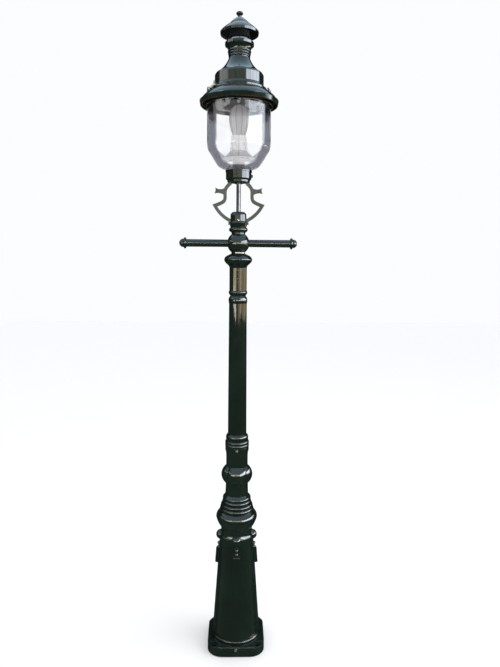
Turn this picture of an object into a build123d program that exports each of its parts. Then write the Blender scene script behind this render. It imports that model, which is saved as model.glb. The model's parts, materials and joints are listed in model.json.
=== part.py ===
"""Street lamp post: cast column, ladder bar, frog arms and a lantern with a hinged canopy.

Millimetres. The origin is the middle of the plinth's underside, +Z is up and -Y is the front.
"""

import math
import os

from build123d import *

# Fits shared by every piece
seat_gap = 0.3
screw_gap = 0.3
end_gap = 1.0
running_gap = 0.05
leaf_gap = 0.6

# Plinth
plinth_w = 240.0
plinth_h = 42.0
plinth_corner_r = 63.0
plinth_edge_r = 3.0
anchor_pitch = 176.0
anchor_r = 7.0
spot_r = 13.5
spot_depth = 8.0
notch_w = 46.0
notch_depth = 5.0
cable_r = 40.0
earth_h = 31.0
earth_head_r = 6.0
earth_head_h = 4.0
earth_shank_r = 3.0
earth_shank_l = 14.0
slot_w = 1.6
slot_depth = 1.5

# Pedestal
ped_h = 482.0
ped_foot_r = 103.5
ped_foot_h = 12.0
ped_low_r = 100.8
ped_high_r = 70.8
ped_neck_l = 38.0
ped_wall_h = ped_h - ped_neck_l
ped_wall = 9.0
ledge_r = 73.0
ledge_lip = 1.5
ledge_h = 5.0
ped_neck_r = 66.0
ped_neck_h = 10.0
ped_flare_r = 67.2
pendant_w = 31.0
pendant_h = 63.0
pendant_drop = 66.0
pendant_proud = 12.0
boss_r = 21.0
boss_drop = 2.0
boss_reach = 87.0
drop_r = 8.0
drop_lap = 1.0
drop_pitch = 17.5

# Lower column
col_h = 403.0
col_spigot_r = 56.0
col_spigot_l = 24.0
col_bore_r = 33.0
torus_r = 86.8
torus_mid = 43.0
torus_low_r = 79.5
torus_low_h = 21.0
torus_high_r = 82.5
torus_high_h = 59.0
torus_top = 71.0
step_h = 15.75
step_root = 3.8
step_lift = 7.0
step_radii = {"lowest": 71.5, "second": 67.8, "third": 61.5, "highest": 59.5}
neck_r = 48.6
waist_r = 47.6
waist_drop = 65.0
knop_r = 48.0
knop_reach = 65.4
column_r = 45.4
column_rise = 46.0
collar_flare = 18.0
collar_l = 69.0
collar_r = 49.2
collar_band = 15.0
bead_r = 50.2
bead_root = 47.9
bead_h = 13.0
shoulder_r = 46.4
shoulder_h = 18.0
shoulder_bulge = 2.8
col_mouth_r = 40.6
neck_low = torus_top + 4 * step_h + step_lift
collar_low = col_h - collar_l
column_high = collar_low - collar_flare
knop_mid = (neck_low + column_high) / 2

# Shaft and the screws that hold it
shaft_low_r = 38.8
shaft_high_r = 36.1
shaft_l = 616.0
shaft_wall = 5.0
shaft_straight = 72.0
shaft_spigot_r = 26.5
shaft_spigot_l = 112.0
spigot_plug_l = 26.0
set_screw_r = 4.0
set_head_r = 5.5
set_head_h = 3.0
set_seat_in = 1.6

# Head casting
head_h = 284.0
band_r = 38.4
band_h = 23.0
band_lip = 1.6
groove_r = 31.4
groove_h = 30.0
head_bead_r = 38.2
head_bead_low = 37.0
head_bead_h = 14.0
head_body_r = 35.2
flare_r = 44.8
flare_l = 16.0
collar_torus_r = 56.6
collar_torus_l = 18.0
collar_torus_top_r = 42.0
ball_neck_r = 27.7
ball_neck_l = 7.0
ball_r = 45.0
ball_sink = 3.0
ball_neck_rise = 4.0
ball_mid = head_h - ball_r + ball_sink
ball_neck_low = ball_mid - ball_r + ball_neck_rise
collar_torus_top = ball_neck_low - ball_neck_l
collar_torus_mid = collar_torus_top - collar_torus_l
flare_h = collar_torus_mid - collar_torus_l
flare_low = flare_h - flare_l
head_socket_r = 16.5
head_socket_l = 34.0
lock_h = 12.0
lock_r = 5.0
lock_head_r = 12.0
lock_rim = 3.0
lock_dome = 5.5
lock_seat_in = 2.6

# Ladder bars
bar_reach = 238.0
bar_root_r = 14.8
bar_tip_r = 15.3
bar_seat = 42.0
bar_stud_r = 8.0
bar_stud_l = 18.0
end_l = 28.0
end_collar_r = 22.5
end_collar_l = 9.0
end_neck_r = 15.5
end_stud_r = 6.0
end_stud_l = 14.0

# Frog hub and arms
hub_h = 82.0
hub_foot_r = 28.0
hub_bead_r = 37.7
hub_bead_root = 31.0
hub_bead_low = 3.0
hub_bead_h = 18.0
hub_waist_r = 32.6
hub_waist_h = 23.0
hub_lip_r = 36.0
hub_lip_h = 38.0
hub_body_r = 32.0
hub_body_low = 45.0
hub_body_high = 68.0
hub_top_r = 22.0
hub_bulge = 2.7
hub_flat = 30.5
hub_screw_h = 48.0
hub_screw_r = 2.0
hub_screw_l = 10.0
hub_screw_head_r = 3.8
hub_screw_head_h = 2.6
hub_screw_in = 0.6
wire_r = 4.5
conduit_seat = 42.0
arm_w = 13.0
arm_t = 12.0
arm_foot_h = 44.0
arm_pad_h = 24.0
arm_join = 4.0
arm_head_r = 31.5
arm_knee_r = 95.0
arm_knee_h = 107.0
arm_waist_r = 54.0
arm_waist_h = 137.0
arm_shoulder_r = 52.0
arm_shoulder_h = 171.0
leaf_reach = 96.0
leaf_h = 166.0
leaf_root_h = 24.0
leaf_tip_h = 23.0
leaf_notch = 4.0
leaf_dip = 7.0
leaf_hollow = 1.5
frog_screw_drop = 7.5
frog_screw_r = 3.0
frog_screw_l = 16.0
frog_head_r = 5.5
frog_head_h = 3.5

# Gallery, conduit and lampholder
frog_rise = 116.0
gallery_floor = 8.0
gallery_h = 45.0
gallery_r = 51.0
gallery_foot_r = 45.0
gallery_foot_h = 7.0
gallery_rim_r = 52.8
gallery_rim_h = 6.0
gallery_bore_r = 46.2
gallery_bolt_r = 3.0
gallery_bolt_l = 20.0
gallery_bolt_head_r = 4.8
gallery_bolt_head_h = 3.5
grip_count = 3
grip_first = -103.0
grip_h = 27.0
grip_r = 3.0
grip_head_r = 5.5
grip_head_l = 8.0
grip_seat_in = 1.0
grip_tip = 1.0
conduit_r = 9.0
conduit_bore_r = 6.0
nut_across = 27.0
nut_h = 6.0
holder_plate_r = 22.0
holder_plate_h = 4.0
holder_rise = 30.0
holder_r = 24.0
holder_h = 86.0
holder_seat_h = 58.0
holder_top_r = 21.0
holder_edge = 3.0
socket_r = 14.2
socket_depth = 30.0

# Lamp
lamp_cap_r = 13.4
lamp_cap_h = 28.0
lamp_h = 180.0
lamp_r = 39.5
lamp_belly = 122.0
lamp_neck_r = 18.0
lamp_neck_h = 40.0
lamp_wall = 1.5
core_r = 7.0
core_h = 138.0
core_waist_r = 3.0
core_waist_h = 69.0
core_bulb_h = 103.5

# Reflector round the lampholder
reflector_sides = 16
reflector_wall = 1.5
reflector_h = 88.0
reflector_low_r = 64.0
reflector_mid_r = 36.0
reflector_mid_h = 27.0
reflector_high_r = 30.0

# Globe
seal_h = 4.0
globe_neck_r = 44.0
globe_neck_h = 34.0
globe_h = 282.0
globe_r = 125.5
globe_wall = 3.5
globe_foot_r = 76.0
globe_foot_h = 47.0
globe_turn_r = 100.0
globe_turn_h = 77.0
globe_cheek_r = 118.0
globe_cheek_h = 107.0
globe_wall_h = 165.0

# Canopy ring
gasket_h = 4.0
gasket_lap = 2.0
ring_h = 47.0
ring_top_r = 109.5
ring_bore_r = 102.0
skirt_mid_r = 131.0
skirt_mid_h = 34.5
skirt_low_r = 150.0
skirt_low_h = 14.5
rim_r = 155.0
rim_lean = 2.5
rim_high = 11.0
rim_low = -4.0
rim_wall = 6.0
rim_drop = 3.0
ring_wall = 6.0
ring_ledge = 5.0
ring_ledge_r = 112.0
ring_plate = 6.0
ring_collar_drop = 10.0
ring_collar_gap = 3.5
ring_collar_wall = 5.0
canopy_seal_h = 2.0
canopy_seal_w = 5.5

# Canopy dome
canopy_gap = 0.3
flange_r = 109.0
flange_h = 6.0
cove_r = 102.5
cove_h = 10.5
drum_r = 95.5
drum_low = 21.0
drum_high = 57.0
dome_lip_r = 91.0
dome_lip_h = 64.0
bell_mid_r = 59.0
bell_mid_h = 92.0
bell_top_r = 42.0
dome_h = 122.0
dome_wall = 3.5
crown_t = 7.0
vent_r = 33.0

# Hinge and catch
pin_r = 3.0
pin_out = 10.0
pin_h = 7.0
pin_head_r = 4.6
pin_head_l = 2.0
knuckle_r = 6.5
knuckle_w = 17.0
lug_w = 5.0
lug_root = 17.0
strap_t = 6.0
strap_plate_t = 4.0
strap_plate_h = 18.0
rivet_h = 12.5
rivet_r = 2.0
rivet_l = 7.0
rivet_head_r = 3.4
rivet_head_h = 1.6
rivet_pitch = 9.0
catch_out = 6.5
ear_r = 9.0
catch_r = 3.0
catch_l = 13.0
catch_head_r = 6.0
catch_head_h = 11.0
catch_waist_r = 4.2
catch_waist_h = 3.7
catch_crown_h = 7.5
catch_boss_r = 8.5
catch_boss_l = 14.0
catch_hole_r = 4.8

# Chimney, cowl, cap and finial
chimney_h = 101.0
chimney_bead_r = 42.6
chimney_bead_depth = 2.8
chimney_bead_grow = 1.7
chimney_bead_h = 9.0
chimney_beads = 3
chimney_throat = 30.0
hood_r = 56.3
hood_low = 48.0
hood_high = 58.0
hood_top_r = 41.0
hood_top = 70.0
chimney_pipe_r = 38.0
pipe_ring_r = 42.5
pipe_ring_low = 72.0
pipe_ring_h = 10.0
chimney_bore_r = 33.0
bridge_w = 14.0
bridge_t = 6.0
post_r = 10.0
post_h = 21.0
cowl_r = 75.0
cowl_wall = 3.5
cowl_rim_h = 9.0
cowl_lean = 1.0
cowl_h = 37.0
cowl_mid_r = 59.0
cowl_mid_h = 24.2
cowl_top_r = 41.0
cap_r = 40.0
cap_lip = 1.5
cap_mid_r = 25.5
cap_mid_h = 16.0
cap_top_r = 8.0
cap_h = 28.0
finial_neck_r = 7.0
finial_neck_h = 4.0
finial_r = 13.5
finial_mid = 12.0
finial_top_r = 6.0
finial_bulge = 2.5
finial_h = 20.0
rod_r = 4.0
rod_below = 12.0
rod_above = 10.0
tie_nut_across = 13.0
tie_nut_h = 7.0

# Heights above the ground that follow from the pieces
ped_z = plinth_h
col_z = ped_z + ped_h
shaft_z = col_z + collar_low
head_z = shaft_z + shaft_l
hub_z = head_z + head_h
gallery_z = hub_z + hub_h + frog_rise
globe_z = gallery_z + gallery_floor + seal_h
plate_z = gallery_z + holder_rise
holder_z = plate_z + holder_plate_h
reflector_z = holder_z + holder_seat_h
lamp_z = holder_z + holder_h - socket_depth + lamp_cap_h
ring_z = globe_z + globe_h + gasket_h
seal_z = ring_z + ring_h
dome_z = seal_z + canopy_seal_h + canopy_gap
chimney_z = dome_z + dome_h
cowl_z = chimney_z + chimney_h + post_h - cowl_h + cowl_wall
cap_z = cowl_z + cowl_h
finial_z = cap_z + cap_h

pin_x = -flange_r - pin_out
pin_z = dome_z + pin_h
catch_x = flange_r + catch_out
set_screw_z = col_z + collar_low + collar_band / 2
frog_screw_z = hub_z + arm_foot_h - frog_screw_drop
wall_lean = (ped_low_r - ped_high_r) / (ped_wall_h - ped_foot_h)


def upright(z):
    """Front-facing plane through the axis whose local origin is at height z."""
    return Plane(origin=(0, 0, z), x_dir=(1, 0, 0), z_dir=(0, -1, 0))


def front(y, z):
    """Front-facing plane at distance y in front of the axis."""
    return Plane(origin=(0, -y, z), x_dir=(1, 0, 0), z_dir=(0, -1, 0))


def side(x, z, hand=1):
    """Plane at distance x to the right (hand 1) or left (hand -1) that faces away from the axis."""
    return Plane(origin=(hand * x, 0, z), x_dir=(0, hand, 0), z_dir=(hand, 0, 0))


def back(y, z):
    """Rear-facing plane at distance y behind the axis."""
    return Plane(origin=(0, y, z), x_dir=(-1, 0, 0), z_dir=(0, 1, 0))


def around(r, z, angle):
    """Plane at distance r from the axis that faces outward at an angle from +X."""
    outward = Vector(1, 0, 0).rotate(Axis.Z, angle)
    return Plane(origin=outward * r + Vector(0, 0, z), x_dir=Vector(0, 0, 1).cross(outward), z_dir=outward)


def bead(root, crest, low, high):
    """Rounded ring in a turned profile."""
    return ThreePointArc((root, low), (crest, (low + high) / 2), (root, high))


def depth_points(curve, wall):
    """Points at an even depth behind a curve, from its end back to its start."""
    return [curve @ u + (curve % u).rotate(Axis.Z, 90) * wall for u in (1, 0.75, 0.5, 0.25, 0)]


def ped_wall_r(h):
    """Radius of the pedestal's outer wall at height h above its foot."""
    return ped_low_r - wall_lean * (h - ped_foot_h)


# Square foot with a step cut into each corner for the ground bolts
with BuildPart() as plinth:
    with BuildSketch():
        RectangleRounded(plinth_w, plinth_w, plinth_corner_r)
    extrude(amount=plinth_h)
    fillet(plinth.faces().sort_by(Axis.Z)[-1].edges(), plinth_edge_r)
    with BuildSketch(Plane.XY.offset(plinth_h - notch_depth)):
        with GridLocations(plinth_w - notch_w, plinth_w - notch_w, 2, 2):
            Rectangle(notch_w, notch_w)
    extrude(amount=notch_depth, mode=Mode.SUBTRACT)
    with BuildSketch(Plane.XY.offset(plinth_h - notch_depth - spot_depth)):
        with GridLocations(anchor_pitch, anchor_pitch, 2, 2):
            Circle(spot_r)
    extrude(amount=spot_depth, mode=Mode.SUBTRACT)
    with BuildSketch():
        with GridLocations(anchor_pitch, anchor_pitch, 2, 2):
            Circle(anchor_r)
        Circle(cable_r)
    extrude(amount=plinth_h, mode=Mode.SUBTRACT)
    with BuildSketch(front(plinth_w / 2, earth_h)):
        Circle(earth_shank_r + screw_gap)
    extrude(amount=-earth_shank_l - end_gap, mode=Mode.SUBTRACT)

# Slotted screw in the front of the foot
with BuildPart() as earth_screw:
    with BuildSketch(front(plinth_w / 2, earth_h)):
        Circle(earth_head_r)
    extrude(amount=earth_head_h)
    fillet(earth_screw.faces().sort_by(Axis.Y)[0].edges(), slot_w / 2)
    with BuildSketch(front(plinth_w / 2 + earth_head_h, earth_h)):
        Rectangle(2 * earth_head_r, slot_w)
    extrude(amount=-slot_depth, mode=Mode.SUBTRACT)
    with BuildSketch(front(plinth_w / 2, earth_h)):
        Circle(earth_shank_r)
    extrude(amount=-earth_shank_l)

# One pendant of the pedestal: a ball at the ledge, two drops and a strap on the leaning wall
pendant_top = ped_wall_h - pendant_drop
pendant_face = Plane(
    origin=(0, -ped_wall_r(pendant_top), ped_z + pendant_top), x_dir=(1, 0, 0), z_dir=(0, -1, wall_lean)
)
with BuildPart() as pendant:
    with BuildSketch(pendant_face.offset(-ped_wall / 2)):
        with Locations((0, (pendant_w / 2 - pendant_h) / 2)):
            Rectangle(pendant_w, pendant_h - pendant_w / 2)
        with Locations((0, pendant_w / 2 - pendant_h)):
            Circle(pendant_w / 2)
    extrude(amount=pendant_proud + ped_wall / 2)
    fillet(pendant.faces().sort_by(Axis.Y)[0].edges(), pendant_proud / 3)
    for k in range(2):
        with Locations(pendant_face * Location((0, drop_r - drop_lap + drop_pitch * k, 0))):
            Sphere(drop_r)
    with Locations((0, boss_r - boss_reach, ped_z + ped_wall_h - boss_drop)):
        Sphere(boss_r)

# Tapered foot of the column, hollow, with four pendants under its ledge
with BuildPart() as pedestal:
    with BuildSketch(upright(ped_z)):
        with BuildLine():
            foot = bead(ped_low_r, ped_foot_r, 0, ped_foot_h)
            Polyline(foot @ 1, (ped_high_r, ped_wall_h), (ledge_r - ledge_lip, ped_wall_h))
            ledge = bead(ledge_r - ledge_lip, ledge_r, ped_wall_h, ped_wall_h + ledge_h)
            flare = ThreePointArc(
                ledge @ 1,
                (ped_flare_r, (ped_wall_h + ledge_h + ped_h - ped_neck_h) / 2),
                (ped_neck_r, ped_h - ped_neck_h),
            )
            Polyline(flare @ 1, (ped_neck_r, ped_h), (0, ped_h), (0, 0), foot @ 0)
        make_face()
    revolve(axis=Axis.Z)
    with PolarLocations(0, 4):
        add(pendant.part)
    with BuildSketch(upright(ped_z)):
        with BuildLine():
            Polyline(
                (0, 0),
                (ped_low_r - ped_wall, 0),
                (col_spigot_r + seat_gap, ped_wall_h),
                (col_spigot_r + seat_gap, ped_h),
                (0, ped_h),
                (0, 0),
            )
        make_face()
    revolve(axis=Axis.Z, mode=Mode.SUBTRACT)

# Turned casting with a torus, stepped rings, a knop of four balls and a ringed collar
set_screw_seats = (front(collar_r - set_seat_in, set_screw_z), back(collar_r - set_seat_in, set_screw_z))
with BuildPart() as lower_column:
    with BuildSketch(upright(col_z)):
        with BuildLine():
            spigot = Polyline(
                (col_bore_r, -col_spigot_l),
                (col_spigot_r, -col_spigot_l),
                (col_spigot_r, 0),
                (ped_neck_r, 0),
            )
            torus_low = ThreePointArc(spigot @ 1, (torus_low_r, torus_low_h), (torus_r, torus_mid))
            torus_high = ThreePointArc(
                torus_low @ 1, (torus_high_r, torus_high_h), (step_radii["lowest"] - step_root, torus_top)
            )
            last = torus_high @ 1
            for k, crest in enumerate(step_radii.values()):
                low = torus_top + k * step_h
                if k:
                    Line(last, (crest - step_root, low))
                ring = bead(crest - step_root, crest, low, low + step_h)
                last = ring @ 1
            Polyline(
                last,
                (neck_r, neck_low),
                (waist_r, knop_mid - waist_drop),
                (column_r, knop_mid + column_rise),
                (column_r, column_high),
                (bead_root, collar_low),
                (collar_r, collar_low),
                (collar_r, collar_low + collar_band),
                (bead_root, collar_low + collar_band),
            )
            bead_low = collar_low + collar_band
            bead(bead_root, bead_r, bead_low, bead_low + bead_h)
            bead(bead_root, bead_r, bead_low + bead_h, bead_low + 2 * bead_h)
            shoulder = Polyline(
                (bead_root, bead_low + 2 * bead_h), (shoulder_r, bead_low + 2 * bead_h),
                (shoulder_r, col_h - shoulder_h),
            )
            brow = SagittaArc(shoulder @ 1, (col_mouth_r, col_h), -shoulder_bulge)
            Polyline(
                brow @ 1,
                (shaft_low_r + seat_gap, col_h),
                (shaft_low_r + seat_gap, collar_low),
                (col_bore_r, collar_low),
                spigot @ 0,
            )
        make_face()
    revolve(axis=Axis.Z)
    with Locations((0, 0, col_z + knop_mid)):
        with PolarLocations(knop_reach - knop_r, 4):
            Sphere(knop_r)
    with BuildSketch(Plane.XY.offset(col_z - col_spigot_l)):
        Circle(col_bore_r)
    extrude(amount=col_spigot_l + collar_low, mode=Mode.SUBTRACT)
    for facing in set_screw_seats:
        with BuildSketch(facing):
            Circle(set_head_r + screw_gap)
        extrude(amount=set_head_h, mode=Mode.SUBTRACT)
        with BuildSketch(facing):
            Circle(set_screw_r + screw_gap)
        extrude(amount=-collar_r / 2, mode=Mode.SUBTRACT)

# Two slotted screws that hold the shaft in the collar
with BuildPart() as shaft_screws:
    for facing in set_screw_seats:
        with BuildSketch(facing):
            Circle(set_head_r)
        extrude(amount=set_head_h)
        with BuildSketch(facing):
            Circle(set_screw_r)
        extrude(amount=-(collar_r - set_seat_in - shaft_low_r + shaft_wall))
        with BuildSketch(facing.offset(set_head_h)):
            Rectangle(2 * set_head_r, slot_w)
        extrude(amount=-slot_depth, mode=Mode.SUBTRACT)

# Plain tapered tube
with BuildPart() as shaft:
    with BuildSketch(upright(shaft_z)):
        with BuildLine():
            Polyline(
                (shaft_low_r - shaft_wall, 0),
                (shaft_low_r, 0),
                (shaft_low_r, shaft_straight),
                (shaft_high_r, shaft_l),
                (shaft_high_r - shaft_wall, shaft_l),
                (shaft_low_r - shaft_wall, 0),
            )
        make_face()
    revolve(axis=Axis.Z)
    for facing in set_screw_seats:
        with BuildSketch(facing):
            Circle(set_screw_r + screw_gap)
        extrude(amount=-collar_r / 2, mode=Mode.SUBTRACT)

# Sleeve in the top of the shaft that carries the head
with BuildPart() as shaft_spigot:
    with BuildSketch(Plane.XY.offset(shaft_z + shaft_l - spigot_plug_l)):
        Circle(shaft_high_r - shaft_wall - seat_gap)
    extrude(amount=spigot_plug_l)
    with BuildSketch(Plane.XY.offset(shaft_z + shaft_l)):
        Circle(shaft_spigot_r)
    extrude(amount=shaft_spigot_l)
    with BuildSketch(Plane.XY.offset(shaft_z + shaft_l - spigot_plug_l)):
        Circle(shaft_spigot_r - shaft_wall)
    extrude(amount=spigot_plug_l + shaft_spigot_l, mode=Mode.SUBTRACT)

# Band, bead, torus and ball that take the ladder bars
ball_dip = math.sqrt(ball_r**2 - ball_neck_r**2)
lock_seat = front(band_r - lock_seat_in, head_z + lock_h)
with BuildPart() as head_casting:
    with BuildSketch(upright(head_z)):
        with BuildLine():
            band = bead(band_r - band_lip, band_r, 0, band_h)
            Polyline(band @ 1, (groove_r, groove_h), (head_body_r, head_bead_low))
            ring = bead(head_body_r, head_bead_r, head_bead_low, head_bead_low + head_bead_h)
            stem = Line(ring @ 1, (head_body_r, flare_low))
            flare = Spline(
                stem @ 1,
                (flare_r, flare_h),
                (collar_torus_r, collar_torus_mid),
                (collar_torus_top_r, collar_torus_top),
                tangents=((0, 1), (-1, 0.35)),
            )
            neck = Polyline(flare @ 1, (ball_neck_r, ball_neck_low), (ball_neck_r, ball_mid - ball_dip))
            ball = ThreePointArc(neck @ 1, (ball_r, ball_mid), (ball_neck_r, ball_mid + ball_dip))
            Polyline(
                ball @ 1,
                (ball_neck_r, head_h),
                (head_socket_r, head_h),
                (head_socket_r, head_h - head_socket_l),
                (wire_r, head_h - head_socket_l),
                (wire_r, shaft_spigot_l + seat_gap),
                (shaft_spigot_r + seat_gap, shaft_spigot_l + seat_gap),
                (shaft_spigot_r + seat_gap, 0),
                band @ 0,
            )
        make_face()
    revolve(axis=Axis.Z)
    for hand in (1, -1):
        seat = side(bar_seat, head_z + ball_mid, hand)
        with BuildSketch(seat):
            Circle(ball_r)
        extrude(amount=ball_r - bar_seat, mode=Mode.SUBTRACT)
        with BuildSketch(seat):
            Circle(bar_stud_r + screw_gap)
        extrude(amount=-bar_stud_l - end_gap, mode=Mode.SUBTRACT)
    with BuildSketch(lock_seat):
        Circle(lock_head_r + screw_gap)
    extrude(amount=lock_rim, mode=Mode.SUBTRACT)
    with BuildSketch(lock_seat):
        Circle(lock_r + screw_gap)
    extrude(amount=-(band_r - lock_seat_in), mode=Mode.SUBTRACT)

# Round-headed bolt in the band of the head
lock_tip = band_r - lock_seat_in - shaft_spigot_r - seat_gap
with BuildPart() as head_lock_bolt:
    with BuildSketch(Plane(origin=lock_seat.origin, x_dir=(0, 0, 1), z_dir=(-1, 0, 0))):
        with BuildLine():
            stem = Polyline(
                (0, -lock_rim - lock_dome),
                (0, lock_tip),
                (lock_r, lock_tip),
                (lock_r, 0),
                (lock_head_r, 0),
                (lock_head_r, -lock_rim),
            )
            Spline(stem @ 1, stem @ 0, tangents=((-0.3, -1), (-1, 0)))
        make_face()
    revolve(axis=Axis(lock_seat.origin, (0, 1, 0)))

# Two bars screwed into flats on the ball
bar_z = head_z + ball_mid
bar_end_x = bar_reach - end_l
with BuildPart() as ladder_bars:
    for hand in (1, -1):
        with BuildSketch(Plane.XZ):
            with BuildLine():
                Polyline(
                    (hand * (bar_seat - bar_stud_l), bar_z),
                    (hand * (bar_seat - bar_stud_l), bar_z + bar_stud_r),
                    (hand * bar_seat, bar_z + bar_stud_r),
                    (hand * bar_seat, bar_z + bar_root_r),
                    (hand * bar_end_x, bar_z + bar_tip_r),
                    (hand * bar_end_x, bar_z + end_stud_r + screw_gap),
                    (hand * (bar_end_x - end_stud_l - end_gap), bar_z + end_stud_r + screw_gap),
                    (hand * (bar_end_x - end_stud_l - end_gap), bar_z),
                    (hand * (bar_seat - bar_stud_l), bar_z),
                )
            make_face()
        revolve(axis=Axis((0, 0, bar_z), (1, 0, 0)))

# Collar and button screwed into the end of each bar
with BuildPart() as bar_ends:
    for hand in (1, -1):
        with BuildSketch(Plane.XZ):
            with BuildLine():
                foot = Polyline(
                    (hand * (bar_end_x - end_stud_l), bar_z),
                    (hand * (bar_end_x - end_stud_l), bar_z + end_stud_r),
                    (hand * bar_end_x, bar_z + end_stud_r),
                    (hand * bar_end_x, bar_z + end_neck_r),
                )
                collar = ThreePointArc(
                    foot @ 1,
                    (hand * (bar_end_x + end_collar_l / 2), bar_z + end_collar_r),
                    (hand * (bar_end_x + end_collar_l), bar_z + end_neck_r),
                )
                button = Spline(
                    collar @ 1, (hand * bar_reach, bar_z), tangents=((hand * 0.8, 0.6), (0, -1))
                )
                Line(button @ 1, foot @ 0)
            make_face()
        revolve(axis=Axis((0, 0, bar_z), (1, 0, 0)))

# Turned cap with a slot on each side for the foot of an arm
hub_screw_seat = front(hub_body_r - hub_screw_in, hub_z + hub_screw_h)
with BuildPart() as frog_hub:
    with BuildSketch(upright(hub_z)):
        with BuildLine():
            spigot = Polyline(
                (wire_r, end_gap - head_socket_l),
                (head_socket_r - seat_gap, end_gap - head_socket_l),
                (head_socket_r - seat_gap, 0),
                (hub_foot_r, 0),
                (hub_bead_root, hub_bead_low),
            )
            ring = bead(hub_bead_root, hub_bead_r, hub_bead_low, hub_bead_low + hub_bead_h)
            body = Polyline(
                ring @ 1,
                (hub_waist_r, hub_waist_h),
                (hub_lip_r, hub_lip_h),
                (hub_body_r, hub_body_low),
                (hub_body_r, hub_body_high),
            )
            crown = SagittaArc(body @ 1, (hub_top_r, hub_h), -hub_bulge)
            Polyline(
                crown @ 1,
                (conduit_r + seat_gap, hub_h),
                (conduit_r + seat_gap, conduit_seat),
                (wire_r, conduit_seat),
                spigot @ 0,
            )
        make_face()
    revolve(axis=Axis.Z)
    for hand in (1, -1):
        with BuildSketch(side(hub_flat, hub_z + arm_foot_h, hand)):
            Rectangle(arm_t + 2 * seat_gap, arm_pad_h + 2 * seat_gap)
        extrude(amount=hub_lip_r - hub_flat + end_gap, mode=Mode.SUBTRACT)
        with BuildSketch(side(hub_flat, frog_screw_z, hand)):
            Circle(frog_screw_r + screw_gap)
        extrude(amount=-frog_screw_l, mode=Mode.SUBTRACT)
    with BuildSketch(hub_screw_seat):
        Circle(hub_screw_head_r + screw_gap)
    extrude(amount=hub_screw_head_h, mode=Mode.SUBTRACT)
    with BuildSketch(hub_screw_seat):
        Circle(hub_screw_r + screw_gap)
    extrude(amount=-hub_screw_l - end_gap, mode=Mode.SUBTRACT)

# Round-headed screw in the front of the hub
with BuildPart() as hub_screw:
    with BuildSketch(hub_screw_seat):
        Circle(hub_screw_head_r)
    extrude(amount=hub_screw_head_h)
    fillet(hub_screw.faces().sort_by(Axis.Y)[0].edges(), hub_screw_head_h / 2)
    with BuildSketch(hub_screw_seat):
        Circle(hub_screw_r)
    extrude(amount=-hub_screw_l)

# Flat scrolled arm with a leaf, from the hub to the gallery
arm_top = hub_h + frog_rise
with BuildPart() as frog_arm_right:
    with BuildSketch(upright(hub_z)):
        with Locations((hub_flat + arm_w / 4, arm_foot_h)):
            Rectangle(arm_w / 2, arm_pad_h)
        with BuildLine():
            Spline(
                (arm_head_r, arm_top),
                (arm_shoulder_r, arm_shoulder_h),
                (arm_waist_r, arm_waist_h),
                (arm_knee_r, arm_knee_h),
                tangents=((0.75, -1), (1, -0.35)),
            )
            Spline(
                (arm_knee_r, arm_knee_h),
                (hub_flat + arm_w / 4, arm_foot_h + arm_join),
                tangents=((-0.55, -1), (-1, -0.5)),
            )
        trace(line_width=arm_w)
        with BuildLine():
            brow = ThreePointArc(
                (arm_shoulder_r, leaf_h + leaf_root_h / 2),
                ((leaf_reach + arm_shoulder_r) / 2, leaf_h + leaf_tip_h / 2 - leaf_dip),
                (leaf_reach - leaf_notch / 2, leaf_h + leaf_tip_h / 2),
            )
            tail = ThreePointArc(
                brow @ 1, (leaf_reach - leaf_notch, leaf_h), (leaf_reach, leaf_h - leaf_tip_h / 2)
            )
            under = ThreePointArc(
                tail @ 1,
                ((leaf_reach + arm_shoulder_r) / 2, leaf_h - leaf_tip_h / 2 + leaf_hollow),
                (arm_shoulder_r, leaf_h - leaf_root_h),
            )
            Line(under @ 1, brow @ 0)
        make_face()
        with Locations((0, arm_top + arm_w)):
            Rectangle(4 * arm_knee_r, 2 * arm_w, mode=Mode.SUBTRACT)
        with Locations((hub_flat / 2, arm_foot_h)):
            Rectangle(hub_flat, 3 * arm_pad_h, mode=Mode.SUBTRACT)
    extrude(amount=arm_t / 2, both=True)
    with BuildSketch(side(hub_flat, frog_screw_z)):
        Circle(frog_screw_r + screw_gap)
    extrude(amount=arm_w, mode=Mode.SUBTRACT)
    with BuildSketch(side(hub_flat + arm_w / 2, frog_screw_z)):
        Circle(frog_head_r + screw_gap)
    extrude(amount=arm_knee_r, mode=Mode.SUBTRACT)
    with BuildSketch(Plane.XY.offset(gallery_z)):
        with Locations((arm_head_r, 0)):
            Circle(gallery_bolt_r + screw_gap)
    extrude(amount=-(gallery_bolt_l - gallery_floor + end_gap), mode=Mode.SUBTRACT)

# The left arm mirrors the right one
with BuildPart() as frog_arm_left:
    add(frog_arm_right.part)
    mirror(about=Plane.YZ, mode=Mode.REPLACE)

# Screws that hold the feet of the arms to the hub
with BuildPart() as frog_screws:
    for hand in (1, -1):
        seat = side(hub_flat + arm_w / 2, frog_screw_z, hand)
        with BuildSketch(seat):
            Circle(frog_head_r)
        extrude(amount=frog_head_h)
        with BuildSketch(seat):
            Circle(frog_screw_r)
        extrude(amount=-frog_screw_l)

# Wire tube from the hub to the lampholder
with BuildPart() as conduit_tube:
    with BuildSketch(Plane.XY.offset(hub_z + conduit_seat)):
        Circle(conduit_r)
        Circle(conduit_bore_r, mode=Mode.SUBTRACT)
    extrude(amount=plate_z - hub_z - conduit_seat)

# Nuts under and over the floor of the gallery
with BuildPart() as conduit_nuts:
    for low in (gallery_z - nut_h, gallery_z + gallery_floor):
        with BuildSketch(Plane.XY.offset(low)):
            RegularPolygon(nut_across / 2, 6, major_radius=False)
            Circle(conduit_r + screw_gap, mode=Mode.SUBTRACT)
        extrude(amount=nut_h)

# The grip screws stand round the gallery, each on a small flat
grip_seats = [
    around(gallery_r - grip_seat_in, gallery_z + grip_h, grip_first + 360 / grip_count * k)
    for k in range(grip_count)
]

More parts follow.
